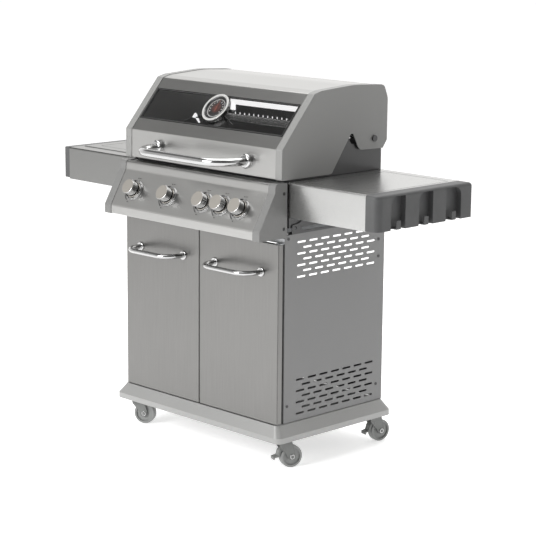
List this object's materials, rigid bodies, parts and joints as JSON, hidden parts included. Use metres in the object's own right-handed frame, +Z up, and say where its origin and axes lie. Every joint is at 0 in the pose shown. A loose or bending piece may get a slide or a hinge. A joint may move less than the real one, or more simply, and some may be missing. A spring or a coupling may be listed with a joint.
{
  "type": "gas barbecue grill",
  "caption": "Gas grill on a wheeled two-door cabinet, with a windowed hood, sloping control panel, side burner shelf and plain side shelf.",
  "frame": {"origin": "on the floor, below the centre of the whole grill's plan", "axes": "+X to the user's right, along the length; +Y to the back; +Z up"},
  "size_m": [1.418, 0.6154, 1.1463],
  "materials": {
    "stainless": "brushed",
    "silver_paint": "satin",
    "grey_paint": "satin",
    "dark_enamel": "semi-matt enamel",
    "dark_plastic": "fine grain",
    "silver_plastic": "satin",
    "chrome": "polished",
    "tinted_glass": "polished",
    "clear_glass": "polished",
    "seal": "matt",
    "cast_iron": "enamelled",
    "galvanised": "zinc plated",
    "wheel_plastic": "matt",
    "needle_paint": "matt"
  },
  "bodies": {
    "stand": {"base_tray": "silver_paint", "side_panel_left": "grey_paint", "side_panel_right": "grey_paint", "back_panel": "grey_paint", "front_rail": "galvanised", "rear_rail": "grey_paint", "door_hinges": "galvanised", "door_magnets": "dark_plastic", "firebox_rails": "dark_enamel", "firebox": "dark_enamel", "panel_fascia": "stainless", "panel_cap_left": "silver_paint", "panel_cap_right": "silver_paint", "gas_manifold": "galvanised", "knob_bezels": "chrome", "burners": "stainless", "flame_tamers": "stainless", "cooking_grate_left": "cast_iron", "cooking_grate_right": "cast_iron", "warming_rack": "chrome", "shelf_left_top": "stainless", "shelf_left_cap": "dark_plastic", "side_burner_pan": "dark_enamel", "side_burner_head": "cast_iron", "side_burner_trivet": "cast_iron", "shelf_right_top": "stainless", "shelf_right_cap": "dark_plastic", "hood_hinge_bolts": "galvanised", "caster_plates": "dark_plastic", "screws": "galvanised"},
    "hood": {"hood_skin": "stainless", "hood_cap_left": "silver_paint", "hood_cap_right": "silver_paint", "hood_glass": "tinted_glass", "glass_seal": "seal", "hood_handle": "chrome", "thermometer_housing": "chrome", "thermometer_lens": "clear_glass"},
    "needle": {"thermometer_needle": "needle_paint"},
    "left_door": {"door_left": "stainless", "door_handle_left": "chrome"},
    "right_door": {"door_right": "stainless", "door_handle_right": "chrome"},
    "burner_lid": {"side_burner_lid": "stainless"},
    "grease_tray": {"drip_tray": "galvanised"},
    "control_1": {"knob_1": "silver_plastic"},
    "control_2": {"knob_2": "silver_plastic"},
    "control_3": {"knob_3": "silver_plastic"},
    "control_4": {"knob_4": "silver_plastic"},
    "control_5": {"knob_5": "silver_plastic"},
    "fork_front_left": {"caster_fork_front_left": "dark_plastic"},
    "wheel_front_left": {"caster_wheel_front_left": "wheel_plastic"},
    "fork_front_right": {"caster_fork_front_right": "dark_plastic"},
    "wheel_front_right": {"caster_wheel_front_right": "wheel_plastic"},
    "fork_rear_left": {"caster_fork_rear_left": "dark_plastic"},
    "wheel_rear_left": {"caster_wheel_rear_left": "wheel_plastic"},
    "fork_rear_right": {"caster_fork_rear_right": "dark_plastic"},
    "wheel_rear_right": {"caster_wheel_rear_right": "wheel_plastic"},
    "brake_front_right": {"caster_brake_front_right": "dark_plastic"},
    "brake_rear_right": {"caster_brake_rear_right": "dark_plastic"}
  },
  "joints": [
    {"name": "hood_lift", "type": "hinge", "parent": "stand", "child": "hood", "pos_m": [0, 0.213, 0.977], "axis": [-1, 0, 0], "range_deg": [0, 85]},
    {"name": "needle_turn", "type": "hinge", "parent": "hood", "child": "needle", "pos_m": [0, -0.11956, 1.06349], "axis": [0, 0.7592, -0.6509], "range_deg": [0, 270], "stiffness_Nm_per_rad": 0.002},
    {"name": "door_left_swing", "type": "hinge", "parent": "stand", "child": "left_door", "pos_m": [-0.34, -0.177, 0.416], "axis": [0, 0, -1], "range_deg": [0, 100]},
    {"name": "door_right_swing", "type": "hinge", "parent": "stand", "child": "right_door", "pos_m": [0.34, -0.177, 0.416], "axis": [0, 0, 1], "range_deg": [0, 100]},
    {"name": "burner_lid_lift", "type": "hinge", "parent": "stand", "child": "burner_lid", "pos_m": [-0.524, 0.221, 0.871], "axis": [-1, 0, 0], "range_deg": [0, 95]},
    {"name": "grease_tray_slide", "type": "slide", "parent": "stand", "child": "grease_tray", "axis": [0, 1, 0], "range_m": [0, 0.3]},
    {"name": "control_1_turn", "type": "hinge", "parent": "stand", "child": "control_1", "pos_m": [-0.242, -0.25263, 0.79782], "axis": [0, -0.8658, 0.5004], "range_deg": [0, 170]},
    {"name": "control_2_turn", "type": "hinge", "parent": "stand", "child": "control_2", "pos_m": [-0.081, -0.25263, 0.79782], "axis": [0, -0.8658, 0.5004], "range_deg": [0, 170]},
    {"name": "control_3_turn", "type": "hinge", "parent": "stand", "child": "control_3", "pos_m": [0.081, -0.25263, 0.79782], "axis": [0, -0.8658, 0.5004], "range_deg": [0, 170]},
    {"name": "control_4_turn", "type": "hinge", "parent": "stand", "child": "control_4", "pos_m": [0.161, -0.25263, 0.79782], "axis": [0, -0.8658, 0.5004], "range_deg": [0, 170]},
    {"name": "control_5_turn", "type": "hinge", "parent": "stand", "child": "control_5", "pos_m": [0.242, -0.25263, 0.79782], "axis": [0, -0.8658, 0.5004], "range_deg": [0, 170]},
    {"name": "swivel_front_left", "type": "hinge", "parent": "stand", "child": "fork_front_left", "pos_m": [-0.338, -0.16, 0.083], "axis": [0, 0, 1], "continuous": true},
    {"name": "roll_front_left", "type": "hinge", "parent": "fork_front_left", "child": "wheel_front_left", "pos_m": [-0.31202, -0.145, 0.035], "axis": [-0.5, 0.866, 0], "continuous": true},
    {"name": "swivel_front_right", "type": "hinge", "parent": "stand", "child": "fork_front_right", "pos_m": [0.338, -0.16, 0.083], "axis": [0, 0, 1], "continuous": true},
    {"name": "roll_front_right", "type": "hinge", "parent": "fork_front_right", "child": "wheel_front_right", "pos_m": [0.34924, -0.13218, 0.035], "axis": [-0.9272, 0.3746, 0], "continuous": true},
    {"name": "brake_front_right_press", "type": "hinge", "parent": "fork_front_right", "child": "brake_front_right", "pos_m": [0.33912, -0.15722, 0.064], "axis": [0.9272, -0.3746, 0], "range_deg": [0, 7]},
    {"name": "swivel_rear_left", "type": "hinge", "parent": "stand", "child": "fork_rear_left", "pos_m": [-0.338, 0.242, 0.083], "axis": [0, 0, 1], "continuous": true},
    {"name": "roll_rear_left", "type": "hinge", "parent": "fork_rear_left", "child": "wheel_rear_left", "pos_m": [-0.32079, 0.26658, 0.035], "axis": [-0.8192, 0.5736, 0], "continuous": true},
    {"name": "swivel_rear_right", "type": "hinge", "parent": "stand", "child": "fork_rear_right", "pos_m": [0.338, 0.242, 0.083], "axis": [0, 0, 1], "continuous": true},
    {"name": "roll_rear_right", "type": "hinge", "parent": "fork_rear_right", "child": "wheel_rear_right", "pos_m": [0.34424, 0.27134, 0.035], "axis": [-0.9781, 0.2079, 0], "continuous": true},
    {"name": "brake_rear_right_press", "type": "hinge", "parent": "fork_rear_right", "child": "brake_rear_right", "pos_m": [0.33862, 0.24493, 0.064], "axis": [0.9781, -0.2079, 0], "range_deg": [0, 7]}
  ]
}
